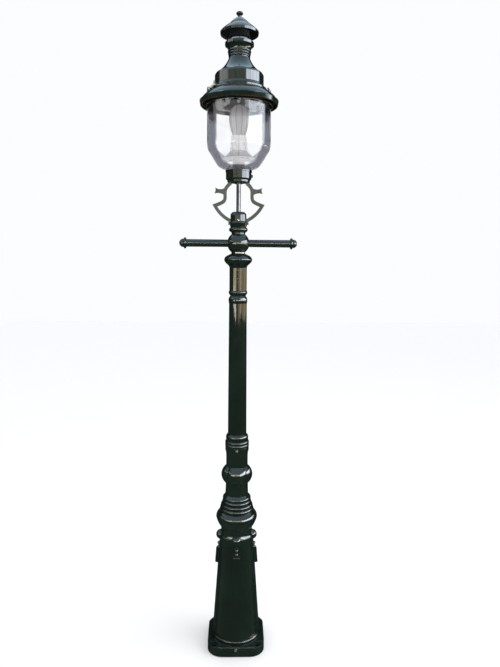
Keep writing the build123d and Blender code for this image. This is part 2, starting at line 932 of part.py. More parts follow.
# Cup that holds the neck of the globe
with BuildPart() as globe_gallery:
    with BuildSketch(upright(gallery_z)):
        with BuildLine():
            Polyline(
                (conduit_r + screw_gap, 0),
                (gallery_foot_r, 0),
                (gallery_foot_r, gallery_foot_h),
                (gallery_r, gallery_foot_h + gallery_r - gallery_foot_r),
                (gallery_r, gallery_h - gallery_rim_h),
                (gallery_rim_r, gallery_h - gallery_rim_h),
                (gallery_rim_r, gallery_h),
                (gallery_bore_r, gallery_h),
                (gallery_bore_r, gallery_floor + gallery_r - gallery_foot_r),
                (globe_neck_r + seat_gap, gallery_floor),
                (conduit_r + screw_gap, gallery_floor),
                (conduit_r + screw_gap, 0),
            )
        make_face()
    revolve(axis=Axis.Z)
    with BuildSketch(Plane.XY.offset(gallery_z)):
        with PolarLocations(arm_head_r, 2):
            Circle(gallery_bolt_r + screw_gap)
    extrude(amount=gallery_floor, mode=Mode.SUBTRACT)
    for seat in grip_seats:
        with BuildSketch(seat):
            Circle(grip_head_r + screw_gap)
        extrude(amount=grip_seat_in + end_gap, mode=Mode.SUBTRACT)
        with BuildSketch(seat):
            Circle(grip_r + screw_gap)
        extrude(amount=-(gallery_r - globe_neck_r), mode=Mode.SUBTRACT)

# Bolts through the floor of the gallery into the arms
with BuildPart() as gallery_bolts:
    with BuildSketch(Plane.XY.offset(gallery_z + gallery_floor)):
        with PolarLocations(arm_head_r, 2):
            Circle(gallery_bolt_head_r)
    extrude(amount=gallery_bolt_head_h)
    with BuildSketch(Plane.XY.offset(gallery_z + gallery_floor)):
        with PolarLocations(arm_head_r, 2):
            Circle(gallery_bolt_r)
    extrude(amount=-gallery_bolt_l)

# Grip screws round the neck of the globe
with BuildPart() as gallery_screws:
    for seat in grip_seats:
        with BuildSketch(seat):
            Circle(grip_head_r)
        extrude(amount=grip_head_l)
        with BuildSketch(seat):
            Circle(grip_r)
        extrude(amount=-(gallery_r - grip_seat_in - globe_neck_r - grip_tip))

# Soft ring under the neck of the globe
with BuildPart() as globe_seal:
    with BuildSketch(Plane.XY.offset(gallery_z + gallery_floor)):
        Circle(globe_neck_r)
        Circle(globe_neck_r - 2 * globe_wall, mode=Mode.SUBTRACT)
    extrude(amount=seal_h)

# Clear bowl with an even wall
with BuildPart() as globe:
    with BuildSketch(upright(globe_z)):
        with BuildLine():
            neck = Line((globe_neck_r, 0), (globe_neck_r, globe_neck_h))
            bowl = Spline(
                neck @ 1,
                (globe_foot_r, globe_foot_h),
                (globe_turn_r, globe_turn_h),
                (globe_cheek_r, globe_cheek_h),
                (globe_r, globe_wall_h),
                tangents=((0.95, 0.3), (0, 1)),
            )
            lining = Spline(*depth_points(bowl, globe_wall), tangents=(bowl % 1 * -1, bowl % 0 * -1))
            Polyline(bowl @ 1, (globe_r, globe_h), (globe_r - globe_wall, globe_h), lining @ 0)
            Polyline(
                lining @ 1,
                (globe_neck_r - globe_wall, globe_neck_h),
                (globe_neck_r - globe_wall, 0),
                neck @ 0,
            )
        make_face()
    revolve(axis=Axis.Z)

# Plate between the wire tube and the lampholder
with BuildPart() as lampholder_plate:
    with BuildSketch(Plane.XY.offset(plate_z)):
        Circle(holder_plate_r)
        Circle(conduit_bore_r, mode=Mode.SUBTRACT)
    extrude(amount=holder_plate_h)

# Stepped holder with a socket for the lamp
with BuildPart() as lampholder:
    with BuildSketch(Plane.XY.offset(holder_z)):
        Circle(holder_r)
    extrude(amount=holder_seat_h)
    fillet(lampholder.edges().sort_by(Axis.Z)[0], holder_edge)
    with BuildSketch(Plane.XY.offset(holder_z)):
        Circle(holder_top_r)
    extrude(amount=holder_h)
    fillet(lampholder.edges().sort_by(Axis.Z)[-1], holder_edge)
    with BuildSketch(Plane.XY.offset(holder_z + holder_h - socket_depth)):
        Circle(socket_r)
    extrude(amount=socket_depth, mode=Mode.SUBTRACT)
    with BuildSketch(Plane.XY.offset(holder_z)):
        Circle(conduit_bore_r)
    extrude(amount=holder_h, mode=Mode.SUBTRACT)

# The reflector is a folded cone that stands on the step of the lampholder
reflector_rings = {0: reflector_low_r, reflector_mid_h: reflector_mid_r, reflector_h: reflector_high_r}
with BuildPart() as lamp_reflector:
    for h, r in reflector_rings.items():
        with BuildSketch(Plane.XY.offset(reflector_z + h)):
            RegularPolygon(r, reflector_sides)
    loft(ruled=True)
    for h, r in reflector_rings.items():
        with BuildSketch(Plane.XY.offset(reflector_z + h + reflector_wall)):
            RegularPolygon(r - 2 * reflector_wall, reflector_sides)
    loft(ruled=True, mode=Mode.SUBTRACT)
    with BuildSketch(Plane.XY.offset(reflector_z)):
        Circle(holder_top_r + seat_gap)
    extrude(amount=reflector_h, mode=Mode.SUBTRACT)

# Metal cap of the lamp
with BuildPart() as lamp_cap:
    with BuildSketch(Plane.XY.offset(lamp_z - lamp_cap_h)):
        Circle(lamp_cap_r)
    extrude(amount=lamp_cap_h)
    fillet(lamp_cap.edges().sort_by(Axis.Z)[0], lamp_cap_r / 4)

# Pear-shaped lamp glass
lamp_outline = [(lamp_cap_r, 0), (lamp_neck_r, lamp_neck_h), (lamp_r, lamp_belly), (0, lamp_h)]
lamp_inside = [(r * (1 - lamp_wall / lamp_r), h * (1 - lamp_wall / lamp_h)) for r, h in lamp_outline]
with BuildPart() as lamp_glass:
    with BuildSketch(upright(lamp_z)):
        with BuildLine():
            skin = Spline(*lamp_outline, tangents=((0.1, 1), (-1, 0)))
            lining = Spline(*lamp_inside, tangents=((0.1, 1), (-1, 0)))
            Line(skin @ 0, lining @ 0)
            Line(lining @ 1, skin @ 1)
        make_face()
    revolve(axis=Axis.Z)

# Light source inside the lamp
with BuildPart() as lamp_core:
    with BuildSketch(upright(lamp_z)):
        with BuildLine():
            stem = Polyline((0, 0), (core_r, 0), (core_waist_r, core_waist_h))
            tube = Spline(stem @ 1, (core_r, core_bulb_h), (0, core_h), tangents=((0.6, 1), (-1, 0)))
            Line(tube @ 1, stem @ 0)
        make_face()
    revolve(axis=Axis.Z)

# Soft ring between the globe and the canopy ring
with BuildPart() as ring_gasket:
    with BuildSketch(Plane.XY.offset(globe_z + globe_h)):
        Circle(globe_r + gasket_lap)
        Circle(globe_r - globe_wall - gasket_lap, mode=Mode.SUBTRACT)
    extrude(amount=gasket_h)

# Flared skirt with a leaning rim, hinge lugs and a boss for the catch
ring_collar_r = globe_r + ring_collar_gap
ring_outer_r = ring_collar_r + ring_collar_wall
with BuildPart() as canopy_ring:
    with BuildSketch(upright(ring_z)):
        with BuildLine():
            top = Line((ring_bore_r, ring_h), (ring_top_r, ring_h))
            skirt = ThreePointArc(top @ 1, (skirt_mid_r, skirt_mid_h), (skirt_low_r, skirt_low_h))
            Polyline(
                skirt @ 1,
                (rim_r, rim_high),
                (rim_r - rim_lean, rim_low),
                (rim_r - rim_lean - rim_wall / 2, rim_low - rim_drop),
                (rim_r - rim_lean - rim_wall, rim_low),
                (rim_r - rim_wall, rim_high),
                (ring_outer_r, skirt_mid_h - ring_wall),
                (ring_outer_r, -ring_collar_drop),
                (ring_collar_r, -ring_collar_drop),
                (ring_collar_r, 0),
                (ring_ledge_r, 0),
                (ring_ledge_r, ring_ledge),
                (ring_outer_r - ring_wall, ring_ledge),
                (ring_outer_r - ring_wall, skirt_mid_h - 2 * ring_wall),
                (ring_bore_r + ring_wall, ring_h - ring_plate),
                (ring_bore_r, ring_h - ring_plate),
                top @ 0,
            )
        make_face()
    revolve(axis=Axis.Z)
    for hand in (1, -1):
        mid = hand * (knuckle_w / 2 + leaf_gap + lug_w / 2)
        with BuildSketch(Plane(origin=(0, mid, 0), x_dir=(1, 0, 0), z_dir=(0, -1, 0))):
            with Locations((pin_x, pin_z)):
                Circle(knuckle_r)
            with Locations((pin_x, pin_z - lug_root / 2)):
                Rectangle(2 * knuckle_r, lug_root + knuckle_r)
            with Locations((pin_x, pin_z)):
                Circle(pin_r + running_gap, mode=Mode.SUBTRACT)
        extrude(amount=lug_w / 2, both=True)
    with BuildSketch(Plane.XY.offset(seal_z)):
        with Locations((catch_x, 0)):
            Circle(catch_boss_r)
    extrude(amount=-catch_boss_l)
    with BuildSketch(Plane.XY.offset(seal_z)):
        with Locations((catch_x, 0)):
            Circle(catch_hole_r)
    extrude(amount=-catch_boss_l, mode=Mode.SUBTRACT)

# Soft ring between the canopy ring and the dome
with BuildPart() as canopy_seal:
    with BuildSketch(Plane.XY.offset(seal_z)):
        Circle(ring_bore_r + canopy_seal_w)
        Circle(ring_bore_r + end_gap, mode=Mode.SUBTRACT)
    extrude(amount=canopy_seal_h)

# Pin with a flat head at each end
with BuildPart() as hinge_pin:
    half = knuckle_w / 2 + leaf_gap + lug_w
    with BuildSketch(front(half, pin_z)):
        with Locations((pin_x, 0)):
            Circle(pin_r)
    extrude(amount=-2 * half)
    for seat in (front(half, pin_z), front(-half - pin_head_l, pin_z)):
        with BuildSketch(seat):
            with Locations((pin_x, 0)):
                Circle(pin_head_r)
        extrude(amount=pin_head_l)

# Flange, drum and bell that swing open
with BuildPart() as canopy_dome:
    with BuildSketch(upright(dome_z)):
        with BuildLine():
            flange = Polyline((flange_r, 0), (flange_r, flange_h))
            cove = ThreePointArc(flange @ 1, (cove_r, cove_h), (drum_r, drum_low))
            drum = Polyline(cove @ 1, (drum_r, drum_high), (dome_lip_r, dome_lip_h))
            bell = Spline(
                drum @ 1, (bell_mid_r, bell_mid_h), (bell_top_r, dome_h), tangents=((-1, 0.6), (-0.35, 1))
            )
            crown = Line(bell @ 1, (vent_r, dome_h))
            lining = Spline(
                (bell_top_r - dome_wall, dome_h - crown_t),
                (bell_mid_r - dome_wall, bell_mid_h - dome_wall),
                (dome_lip_r - dome_wall, dome_lip_h - dome_wall),
                tangents=((0.35, -1), (1, -0.6)),
            )
            Polyline(crown @ 1, (vent_r, dome_h - crown_t), lining @ 0)
            Polyline(
                lining @ 1,
                (drum_r - dome_wall, drum_high - dome_wall),
                (drum_r - dome_wall, drum_low),
                (cove_r - dome_wall, cove_h - dome_wall),
                (ring_bore_r, flange_h),
                (ring_bore_r, 0),
                flange @ 0,
            )
        make_face()
    revolve(axis=Axis.Z)
    with BuildSketch(Plane.XY.offset(dome_z)):
        with Locations((catch_x, 0)):
            Circle(ear_r)
        with Locations((catch_x - ear_r / 2, 0)):
            Rectangle(ear_r, 2 * ear_r)
    extrude(amount=flange_h)
    with BuildSketch(Plane.XY.offset(dome_z)):
        with Locations((catch_x, 0)):
            Circle(catch_r + screw_gap)
    extrude(amount=flange_h, mode=Mode.SUBTRACT)
    with BuildSketch(side(-drum_r - end_gap, dome_z + drum_low + rivet_h)):
        with GridLocations(rivet_pitch, 1, 2, 1):
            Circle(rivet_r + screw_gap)
    extrude(amount=2 * dome_wall, mode=Mode.SUBTRACT)

# Strap with a knuckle, riveted to the drum
plate_low = dome_z + drum_low
with BuildPart() as hinge_leaf:
    with BuildSketch(Plane.XZ):
        with BuildLine():
            Line((pin_x, pin_z), (-drum_r - strap_plate_t, plate_low + strap_t / 2))
        trace(line_width=strap_t)
        with Locations((pin_x, pin_z)):
            Circle(knuckle_r)
        with Locations((-drum_r, plate_low + strap_plate_h / 2)):
            Rectangle(2 * strap_plate_t, strap_plate_h)
        with Locations((pin_x, pin_z)):
            Circle(pin_r + running_gap, mode=Mode.SUBTRACT)
    extrude(amount=knuckle_w / 2, both=True)
    with BuildSketch(Plane.XY.offset(dome_z)):
        Circle(drum_r)
    extrude(amount=dome_h, mode=Mode.SUBTRACT)
    with BuildSketch(side(-drum_r - 2 * strap_plate_t, plate_low + rivet_h)):
        with GridLocations(rivet_pitch, 1, 2, 1):
            Circle(rivet_r + screw_gap)
    extrude(amount=3 * strap_plate_t, mode=Mode.SUBTRACT)

# Rivets that hold the leaf to the drum
with BuildPart() as hinge_rivets:
    rivet_face = side(-drum_r - strap_plate_t, plate_low + rivet_h)
    with BuildSketch(rivet_face):
        with GridLocations(rivet_pitch, 1, 2, 1):
            Circle(rivet_head_r)
    extrude(amount=-rivet_head_h)
    with BuildSketch(rivet_face):
        with GridLocations(rivet_pitch, 1, 2, 1):
            Circle(rivet_r)
    extrude(amount=rivet_l)

# Beaded neck with a brim, a ring and a bridge for the rod
foot_h = chimney_throat - chimney_beads * chimney_bead_h
chimney_foot_r = chimney_bead_r - chimney_bead_depth
with BuildPart() as chimney:
    with BuildSketch(upright(chimney_z)):
        with BuildLine():
            foot = Line((chimney_foot_r, 0), (chimney_foot_r, foot_h))
            last = foot @ 1
            for k in range(chimney_beads):
                crest = chimney_bead_r + k * chimney_bead_grow
                low = foot_h + k * chimney_bead_h
                if k:
                    Line(last, (crest - chimney_bead_depth, low))
                ring = bead(crest - chimney_bead_depth, crest, low, low + chimney_bead_h)
                last = ring @ 1
            swell = Spline(last, (hood_r, hood_low), tangents=((0.3, 1), (1, 0.5)))
            Polyline(
                swell @ 1,
                (hood_r, hood_high),
                (hood_top_r, hood_top),
                (chimney_pipe_r, hood_top),
                (chimney_pipe_r, pipe_ring_low),
            )
            collar = bead(chimney_pipe_r, pipe_ring_r, pipe_ring_low, pipe_ring_low + pipe_ring_h)
            Polyline(
                collar @ 1,
                (chimney_pipe_r, chimney_h),
                (chimney_bore_r, chimney_h),
                (chimney_bore_r, 0),
                foot @ 0,
            )
        make_face()
    revolve(axis=Axis.Z)
    with BuildSketch(Plane.XY.offset(chimney_z + chimney_h - bridge_t)):
        Rectangle(2 * (chimney_bore_r + end_gap), bridge_w)
    extrude(amount=bridge_t)
    with BuildSketch(Plane.XY.offset(chimney_z + chimney_h)):
        Circle(post_r)
    extrude(amount=post_h)
    with BuildSketch(Plane.XY.offset(chimney_z + chimney_h - bridge_t)):
        Circle(rod_r + screw_gap)
    extrude(amount=bridge_t + post_h, mode=Mode.SUBTRACT)

# Cone over the mouth of the chimney
with BuildPart() as cowl:
    with BuildSketch(upright(cowl_z)):
        with BuildLine():
            rim = Polyline((cowl_r - cowl_wall, 0), (cowl_r - cowl_lean, 0), (cowl_r, cowl_rim_h))
            roof = ThreePointArc(rim @ 1, (cowl_mid_r, cowl_mid_h), (cowl_top_r, cowl_h))
            Polyline(
                roof @ 1,
                (rod_r + screw_gap, cowl_h),
                (rod_r + screw_gap, cowl_h - cowl_wall),
                (cowl_top_r, cowl_h - cowl_wall),
                (cowl_r - cowl_wall, cowl_rim_h),
                rim @ 0,
            )
        make_face()
    revolve(axis=Axis.Z)

# Solid point that carries on the slope of the cowl
with BuildPart() as cap:
    with BuildSketch(upright(cap_z)):
        with BuildLine():
            lip = Polyline((rod_r + screw_gap, 0), (cap_r, 0), (cap_r, cap_lip))
            roof = ThreePointArc(lip @ 1, (cap_mid_r, cap_mid_h), (cap_top_r, cap_h))
            Polyline(roof @ 1, (rod_r + screw_gap, cap_h), lip @ 0)
        make_face()
    revolve(axis=Axis.Z)

# Flat-topped knob screwed onto the rod
with BuildPart() as finial:
    with BuildSketch(upright(finial_z)):
        with BuildLine():
            stem = Polyline(
                (0, rod_above + end_gap),
                (rod_r + screw_gap, rod_above + end_gap),
                (rod_r + screw_gap, 0),
                (finial_neck_r, 0),
                (finial_neck_r, finial_neck_h),
                (finial_r, finial_mid),
            )
            knob = SagittaArc(stem @ 1, (finial_top_r, finial_h), -finial_bulge)
            Polyline(knob @ 1, (0, finial_h), stem @ 0)
        make_face()
    revolve(axis=Axis.Z)

# Rod that holds the chimney, cowl, cap and finial together
nut_z = chimney_z + chimney_h - bridge_t - tie_nut_h
with BuildPart() as tie_rod:
    with BuildSketch(Plane.XY.offset(nut_z - rod_below + tie_nut_h)):
        Circle(rod_r)
    extrude(amount=finial_z + rod_above - nut_z + rod_below - tie_nut_h)

# Nut under the bridge of the chimney
with BuildPart() as tie_nut:
    with BuildSketch(Plane.XY.offset(nut_z)):
        RegularPolygon(tie_nut_across / 2, 6, major_radius=False)
        Circle(rod_r + screw_gap, mode=Mode.SUBTRACT)
    extrude(amount=tie_nut_h)

# Knob with a plain shank that turns in the ear of the flange
with BuildPart() as catch_screw:
    with BuildSketch(Plane.XZ):
        with BuildLine():
            seat_h = dome_z + flange_h
            shank = Polyline(
                (catch_x, seat_h + catch_head_h),
                (catch_x, seat_h - catch_l),
                (catch_x + catch_r, seat_h - catch_l),
                (catch_x + catch_r, seat_h),
                (catch_x + catch_head_r, seat_h),
                (catch_x + catch_waist_r, seat_h + catch_waist_h),
            )
            Spline(
                shank @ 1,
                (catch_x + catch_head_r, seat_h + catch_crown_h),
                (catch_x, seat_h + catch_head_h),
                tangents=((0.6, 1), (-1, 0)),
            )
        make_face()
    revolve(axis=Axis((catch_x, 0, 0), (0, 0, 1)))

nodes = {
    "plinth": plinth,
    "earth_screw": earth_screw,
    "pedestal": pedestal,
    "lower_column": lower_column,
    "shaft_screws": shaft_screws,
    "shaft": shaft,
    "shaft_spigot": shaft_spigot,
    "head_casting": head_casting,
    "head_lock_bolt": head_lock_bolt,
    "ladder_bars": ladder_bars,
    "bar_ends": bar_ends,
    "frog_hub": frog_hub,
    "hub_screw": hub_screw,
    "frog_arm_left": frog_arm_left,
    "frog_arm_right": frog_arm_right,
    "frog_screws": frog_screws,
    "conduit_tube": conduit_tube,
    "conduit_nuts": conduit_nuts,
    "globe_gallery": globe_gallery,
    "gallery_bolts": gallery_bolts,
    "gallery_screws": gallery_screws,
    "globe_seal": globe_seal,
    "globe": globe,
    "lampholder_plate": lampholder_plate,
    "lampholder": lampholder,
    "lamp_reflector": lamp_reflector,
    "lamp_cap": lamp_cap,
    "lamp_glass": lamp_glass,
    "lamp_core": lamp_core,
    "ring_gasket": ring_gasket,
    "canopy_ring": canopy_ring,
    "canopy_seal": canopy_seal,
    "hinge_pin": hinge_pin,
    "canopy_dome": canopy_dome,
    "hinge_leaf": hinge_leaf,
    "hinge_rivets": hinge_rivets,
    "chimney": chimney,
    "cowl": cowl,
    "cap": cap,
    "finial": finial,
    "tie_rod": tie_rod,
    "tie_nut": tie_nut,
    "catch_screw": catch_screw,
}

os.makedirs("parts", exist_ok=True)
for label, node in nodes.items():
    node.part.label = label
    export_step(node.part, f"parts/{label}.step")
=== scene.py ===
"""Looks of the lamp post: finishes, floor, light and camera."""

import json
import math

import bpy
from mathutils import Matrix, Vector

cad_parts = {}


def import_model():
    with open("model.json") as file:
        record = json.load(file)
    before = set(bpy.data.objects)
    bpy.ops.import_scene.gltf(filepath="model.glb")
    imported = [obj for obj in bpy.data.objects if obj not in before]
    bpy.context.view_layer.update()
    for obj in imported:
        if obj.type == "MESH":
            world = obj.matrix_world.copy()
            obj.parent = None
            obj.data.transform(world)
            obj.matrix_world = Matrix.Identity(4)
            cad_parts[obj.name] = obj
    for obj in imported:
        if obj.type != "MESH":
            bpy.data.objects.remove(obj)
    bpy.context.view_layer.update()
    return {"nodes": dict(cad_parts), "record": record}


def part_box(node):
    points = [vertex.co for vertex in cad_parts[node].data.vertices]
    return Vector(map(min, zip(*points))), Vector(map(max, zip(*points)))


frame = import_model()
nodes = frame["nodes"]

# Camera, in metres and degrees
camera_distance = 2.35
camera_height = 1.63
camera_pitch = -6.8
camera_yaw = -1.23
camera_roll = 0.5
camera_lens = 31.05
camera_sensor = 36.0

# How far from the edge of the globe or the cowl a finish changes, in metres
lining_gap = 0.003
cowl_margin = 0.001
reach_soft = 0.0005
painted_shade_start = 0.0238
painted_shade_end = 0.0198
band_start = 0.060
band_end = 0.038

# Radii and heights where a finish changes, from the frame
globe_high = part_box("globe")[1]
cowl_low, cowl_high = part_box("cowl")
lining_reach = globe_high.x + lining_gap
cowl_reach = cowl_high.x + cowl_margin
mouth_low = cowl_low.z - painted_shade_start
mouth_high = cowl_low.z - painted_shade_end
band_low = globe_high.z - band_start
band_high = globe_high.z - band_end

# Gloss paint, its painted ground reflection and the matt black painted shade on it
coat_weight = 0.25
coat_rough = 0.06
edge_radius = 0.0012
streak_amount = 0.04
ground_reflection_amount = 0.8
paint_specular = 0.5
painted_shade_specular = 0.1
painted_shade_rough = 0.8

# Glass
glass_ior = 1.45

# Colours of the finishes, linear
green = (0.0032, 0.0078, 0.0052, 1.0)
green_faded = (0.0065, 0.0132, 0.0092, 1.0)
# Arm paint: the post's green made lighter, as a painted sky reflection
arm_green_with_sheen = (0.030, 0.038, 0.029, 1.0)
arm_faded_with_sheen = (0.062, 0.068, 0.052, 1.0)
# Blue-grey of dust on the paint, also used as a painted sky reflection on upward faces
dust_and_sky_sheen = (0.120, 0.145, 0.160, 1.0)
# Black for painted shade under the cowl and for painted dark reflections on the lining
painted_black = (0.004, 0.004, 0.004, 1.0)
# Red-brown painted reflection of the ground on faces turned down
ground_reflection_brown = (0.070, 0.020, 0.012, 1.0)
enamel = (0.80, 0.80, 0.83, 1.0)
zinc = (0.50, 0.50, 0.49, 1.0)
zinc_dull = (0.30, 0.29, 0.26, 1.0)
conduit_grey = (0.10, 0.10, 0.10, 1.0)
conduit_dull = (0.07, 0.07, 0.075, 1.0)
cap_metal = (0.78, 0.74, 0.62, 1.0)
cap_dull = (0.62, 0.58, 0.48, 1.0)
rubber_red = (0.085, 0.024, 0.016, 1.0)
rubber_dark = (0.045, 0.016, 0.012, 1.0)
glaze = (0.97, 0.97, 0.96, 1.0)
craze_line = (0.72, 0.70, 0.66, 1.0)
untinted = (1.0, 1.0, 1.0, 1.0)
bowl_tint = (0.955, 0.965, 0.985, 1.0)
core_tint = (0.92, 0.92, 0.90, 1.0)
# Grey and near black of the painted band inside the globe's edges; the near black is painted shade at
# its top
edge_grey = (0.21, 0.215, 0.25, 1.0)
edge_dark = (0.004, 0.004, 0.006, 1.0)
pearl = (0.95, 0.94, 0.97, 1.0)
pearl_dull = (0.86, 0.85, 0.89, 1.0)
# Dark for the lines, for the painted dark edge of the lamp glass and for painted shade at the folds
line_dark = (0.12, 0.115, 0.13, 1.0)

# Floor
floor_half = 14.0
floor_pale = (0.985, 0.985, 0.985, 1.0)
floor_dull = (0.97, 0.97, 0.97, 1.0)

# Surroundings: white for the shading, the others for the gloss
white_around = (0.97, 0.98, 1.0, 1.0)
behind_dark = (0.03, 0.04, 0.04, 1.0)
ground_dark = (0.12, 0.16, 0.13, 1.0)
sky_blue = (0.80, 1.1, 1.35, 1.0)

# Bright things seen in the gloss: colour, reach to the side and reach upward of the direction
reflected = [
    ((1.7, 1.7, 1.4, 1.0), (-0.75, 1.2), (0.03, 0.22)),
    ((0.9, 0.9, 0.75, 1.0), (-0.75, 1.2), (0.22, 0.36)),
    ((11.0, 12.0, 13.5, 1.0), (0.50, 1.2), (0.05, 0.40)),
    ((3.0, 3.0, 2.8, 1.0), (-1.2, -0.76), (0.23, 0.37)),
]

# Sunlit wall seen in the gloss, in panels: side, start, end, low edge, high edge, glow and colour
gold = (1.0, 0.80, 0.47)
cream = (1.0, 0.94, 0.82)
wall_away = 3.2
walls = [
    ("front", -6.6, -1.4, 1.10, 1.34, 9.0, cream),
    ("front", -6.6, -1.4, 1.34, 1.66, 5.2, gold),
    ("front", -1.4, 0.15, 1.12, 1.66, 0.4, gold),
    ("front", 0.15, 1.5, 1.12, 1.66, 2.2, gold),
    ("front", 1.5, 3.2, 1.12, 1.66, 4.4, gold),
    ("front", -4.5, 3.2, 1.66, 1.82, 16.0, cream),
    ("right", -3.2, 2.0, 1.12, 1.66, 2.2, gold),
    ("right", -3.2, 2.0, 1.66, 1.82, 16.0, cream),
]

# Soft light that shades the post
light_place = (3.2, -0.9, 3.1)
light_aim = (0, 0, 1.9)
light_size = (3.6, 2.6)
light_glow = 2.4
white_light = (1, 1, 1)


def put(tree, socket, value):
    """Links a socket into another, or sets its value."""
    if isinstance(value, bpy.types.NodeSocket):
        tree.links.new(value, socket)
    else:
        socket.default_value = value


def add(tree, kind, settings=None, **sockets):
    """Adds a node with its settings and with its inputs linked or set by name."""
    made = tree.nodes.new(kind)
    for key, value in (settings or {}).items():
        setattr(made, key, value)
    for key, value in sockets.items():
        put(tree, made.inputs[key], value)
    return made


def combine(tree, kind, operation, a, b, result="Value"):
    """Result of an operation on two inputs."""
    made = add(tree, kind, {"operation": operation})
    put(tree, made.inputs[0], a)
    put(tree, made.inputs[1], b)
    return made.outputs[result]


def times(tree, a, b):
    """Product of two values."""
    return combine(tree, "ShaderNodeMath", "MULTIPLY", a, b)


def blend(tree, amount, a, b):
    """Colour between a and b."""
    made = add(tree, "ShaderNodeMix", {"data_type": "RGBA"}, Factor=amount, A=a, B=b)
    return made.outputs["Result"]


def ramp(tree, value, low, high, start=0.0, end=1.0):
    """Value stretched from low..high to start..end."""
    made = add(tree, "ShaderNodeMapRange", {"interpolation_type": "SMOOTHSTEP"}, Value=value)
    for key, number in (("From Min", low), ("From Max", high), ("To Min", start), ("To Max", end)):
        put(tree, made.inputs[key], number)
    return made.outputs["Result"]


def within(tree, value, low, high, soft=0.02):
    """1 between two limits of a value, with soft ends, and 0 elsewhere."""
    above = ramp(tree, value, low - soft, low + soft)
    below = ramp(tree, value, high + soft, high - soft)
    return times(tree, above, below)


def place(tree):
    """Position on the object, in metres."""
    return add(tree, "ShaderNodeTexCoord").outputs["Object"]


def direction(tree):
    """Direction of the surface on the object, the same in every pose."""
    return add(tree, "ShaderNodeTexCoord").outputs["Normal"]


def height(tree):
    """Height on the object, in metres."""
    return add(tree, "ShaderNodeSeparateXYZ", Vector=place(tree)).outputs["Z"]


def facing_up(tree):
    """Upward part of the surface's direction, from -1 to 1."""
    return add(tree, "ShaderNodeSeparateXYZ", Vector=direction(tree)).outputs["Z"]


def slant(tree):
    """0 where glass is seen face on, 1 at its outline."""
    return add(tree, "ShaderNodeLayerWeight", Blend=0.5).outputs["Facing"]


def noise(tree, scale, detail=3.0, stretch=(1, 1, 1)):
    """Cloudy pattern between 0 and 1 with its scale per metre."""
    where = add(tree, "ShaderNodeMapping", Vector=place(tree), Scale=stretch).outputs["Vector"]
    return add(tree, "ShaderNodeTexNoise", Vector=where, Scale=scale, Detail=detail).outputs["Fac"]


def lining(tree, reach):
    """1 on the faces within a reach of the axis that look inward or down, 0 elsewhere."""
    across = combine(tree, "ShaderNodeVectorMath", "MULTIPLY", place(tree), (1, 1, 0), "Vector")
    outward = combine(tree, "ShaderNodeVectorMath", "DOT_PRODUCT", direction(tree), across)
    radius = add(tree, "ShaderNodeVectorMath", {"operation": "LENGTH"}, Vector=across).outputs["Value"]
    inward = ramp(tree, outward, -0.008, -0.020)
    down = ramp(tree, facing_up(tree), -0.30, -0.70)
    looks = combine(tree, "ShaderNodeMath", "MAXIMUM", inward, down)
    return times(tree, ramp(tree, radius, reach + reach_soft, reach), looks)


def ribs(tree, count, width):
    """1 on thin upright lines spread evenly round the axis, 0 between them."""
    where = add(tree, "ShaderNodeSeparateXYZ", Vector=place(tree))
    turn = combine(tree, "ShaderNodeMath", "ARCTAN2", where.outputs["Y"], where.outputs["X"])
    swing = combine(tree, "ShaderNodeMath", "PINGPONG", times(tree, turn, count / math.pi), 1.0)
    return ramp(tree, swing, width, 0.0)


def bump(tree, relief, depth, strength=1.0, under=None):
    """Relief of a depth in metres over another relief."""
    made = add(tree, "ShaderNodeBump", Height=relief, Distance=depth, Strength=strength)
    if under is not None:
        put(tree, made.inputs["Normal"], under)
    return made.outputs["Normal"]


def new_material(name):
    """A material with its node tree and the inputs of its shader."""
    material = bpy.data.materials.new(name)
    material.use_nodes = True
    return material, material.node_tree, material.node_tree.nodes["Principled BSDF"].inputs


def gloss_paint(name, colour, faded, dust_and_sheen_amount=0.06):
    """Brushed gloss paint on cast iron: uneven shade, a pale film on upward faces that is partly dirt
    and partly painted sky reflection, streaks, soft edges, orange peel.
    """
    material, tree, shader = new_material(name)
    shade = blend(tree, ramp(tree, noise(tree, 7.0, 5.0), 0.40, 0.68), colour, faded)
    patchy = ramp(tree, noise(tree, 38.0, 6.0), 0.42, 0.72)
    # Upward faces: a pale film, partly dirt and partly painted sky reflection
    upward_dust_and_sheen = times(tree, ramp(tree, facing_up(tree), 0.55, 0.98), patchy)
    shade = blend(tree, times(tree, upward_dust_and_sheen, dust_and_sheen_amount), shade, dust_and_sky_sheen)
    streak = ramp(tree, noise(tree, 55.0, 4.0, (1, 1, 0.06)), 0.62, 0.80)
    put(tree, shader["Base Color"], blend(tree, times(tree, streak, streak_amount), shade, dust_and_sky_sheen))
    put(tree, shader["Roughness"], ramp(tree, noise(tree, 24.0, 5.0), 0.30, 0.75, 0.05, 0.13))
    edge = add(tree, "ShaderNodeBevel", {"samples": 4}, Radius=edge_radius).outputs["Normal"]
    cast = bump(tree, noise(tree, 60.0, 2.0), 0.0005, 0.15, under=edge)
    put(tree, shader["Normal"], bump(tree, noise(tree, 420.0, 2.0), 0.0001, 0.10, under=cast))
    shader["Coat Weight"].default_value = coat_weight
    shader["Coat Roughness"].default_value = coat_rough
    return material, tree, shader


def lay_over(tree, shader, amount, colour):
    """Lays a colour over a finish where the amount is 1."""
    under = shader["Base Color"].links[0].from_socket
    put(tree, shader["Base Color"], blend(tree, amount, under, colour))


def plain_paint(name, colour, faded):
    """Gloss paint with nothing on it."""
    return gloss_paint(name, colour, faded)[0]


